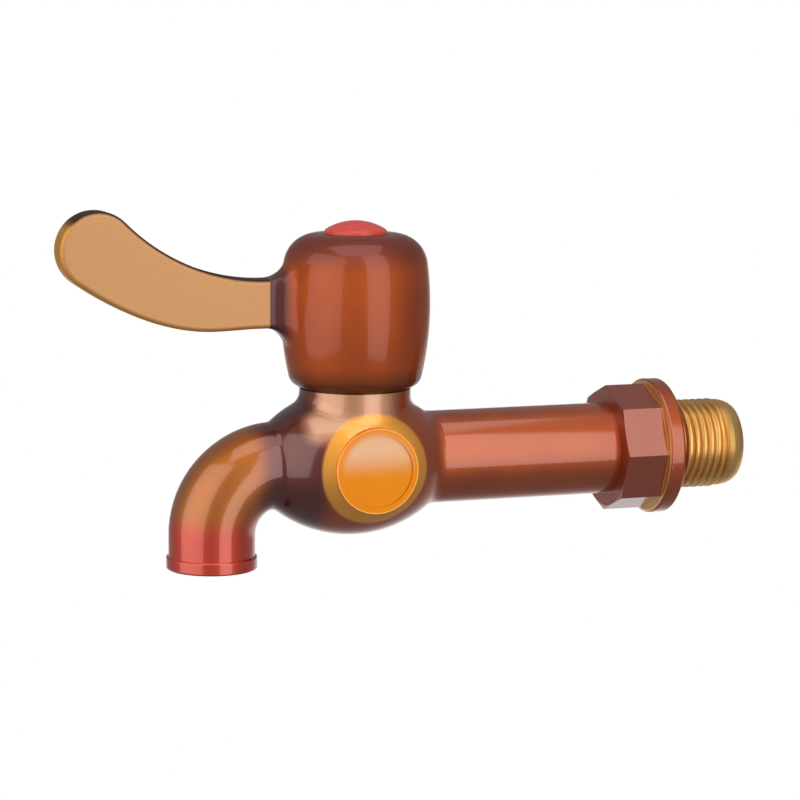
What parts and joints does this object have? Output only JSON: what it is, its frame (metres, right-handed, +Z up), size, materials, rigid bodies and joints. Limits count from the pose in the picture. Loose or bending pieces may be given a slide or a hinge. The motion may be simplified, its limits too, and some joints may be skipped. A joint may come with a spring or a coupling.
{
  "type": "bib tap",
  "caption": "Wall-mounted long-body bib tap with a quarter-turn lever over a ceramic-disc valve, a turned-down spout and a threaded inlet nipple.",
  "frame": {"origin": "centre of the wall flange's back face, on the inlet axis, where the threaded nipple starts", "axes": "+X along the inlet thread into the wall, +Z up, spout and lever towards -X"},
  "size_m": [0.1642, 0.0342, 0.0818],
  "materials": {
    "copper_lacquer": "polished brass under a red-copper lacquer",
    "lever_satin": "satin pale copper-gold",
    "raw_brass": "machined brass",
    "red_index": "moulded red plastic",
    "grey_plastic": "moulded grey plastic",
    "white_plastic": "moulded white acetal",
    "disc_ceramic": "lapped alumina",
    "screw_steel": "stainless steel",
    "seal_rubber": "black rubber"
  },
  "bodies": {
    "tap": {"tap_body": "copper_lacquer", "flow_straightener": "grey_plastic", "inlet_nipple": "raw_brass", "nipple_o_ring": "seal_rubber", "headwork_housing": "raw_brass", "housing_o_ring": "seal_rubber", "seat_seal": "seal_rubber", "fixed_disc": "disc_ceramic", "thrust_washer": "white_plastic"},
    "handle": {"spindle": "raw_brass", "spindle_o_ring_lower": "seal_rubber", "spindle_o_ring_upper": "seal_rubber", "spindle_clip": "screw_steel", "moving_disc": "disc_ceramic", "spline_bush": "white_plastic", "handle_barrel": "copper_lacquer", "lever_blade": "lever_satin", "lever_screw": "screw_steel", "handle_screw": "screw_steel", "lock_washer": "screw_steel", "index_button": "red_index"}
  },
  "joints": [
    {"name": "handle_turn", "type": "hinge", "parent": "tap", "child": "handle", "pos_m": [-0.0764, 0, 0.02], "axis": [0, 0, 1], "range_deg": [0, 90]}
  ]
}
